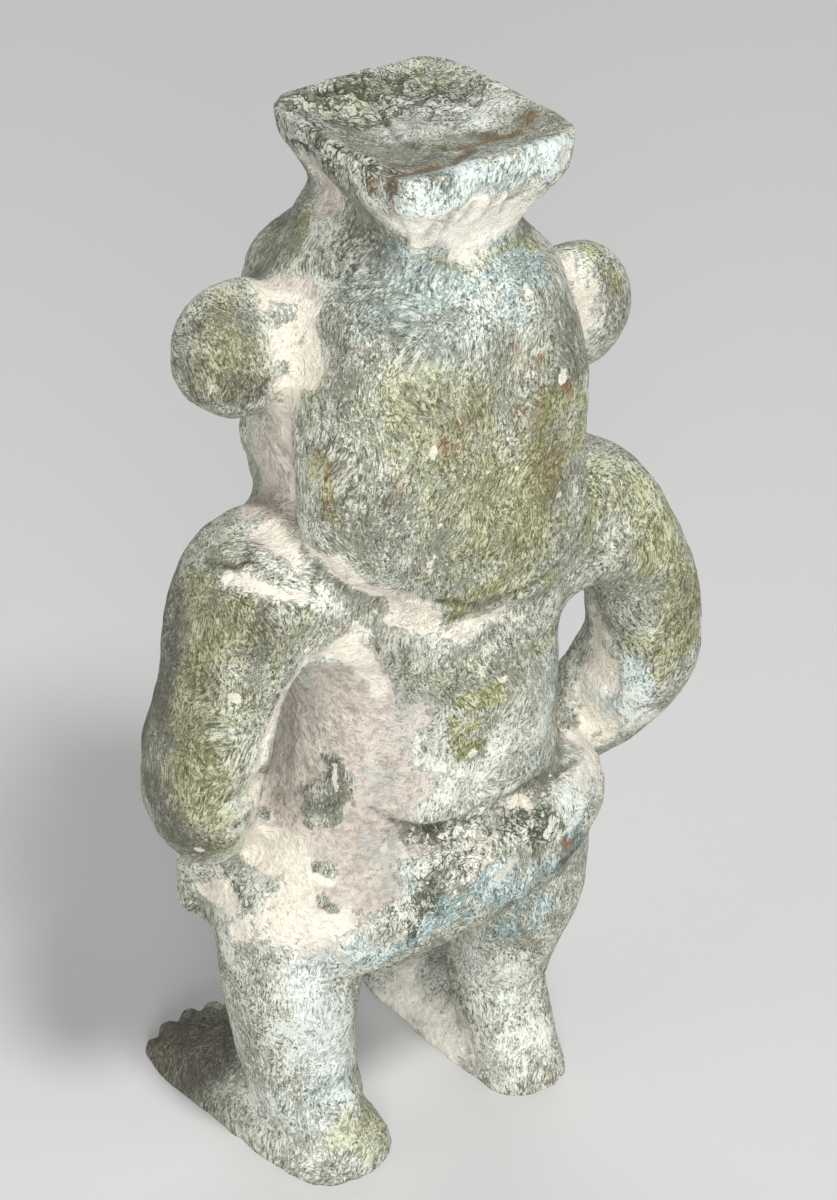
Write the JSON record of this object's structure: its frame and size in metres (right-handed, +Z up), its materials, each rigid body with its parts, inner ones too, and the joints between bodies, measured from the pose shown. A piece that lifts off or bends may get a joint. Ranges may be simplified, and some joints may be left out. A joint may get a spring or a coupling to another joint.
{
  "type": "god statuette",
  "caption": "Standing dwarf god moulded in worn blue-green glazed clay, hands on hips, square block on the head, on flat feet.",
  "frame": {"origin": "on the ground plane of the soles, under the middle of the figure's width and depth", "axes": "+Z up along the body, -Y the way the figure faces, +X its left side"},
  "size_m": [0.0678, 0.039, 0.12],
  "materials": {
    "worn_glaze": "worn matt glaze over chalky clay"
  },
  "bodies": {
    "root": {"statuette": "worn_glaze"}
  },
  "joints": []
}
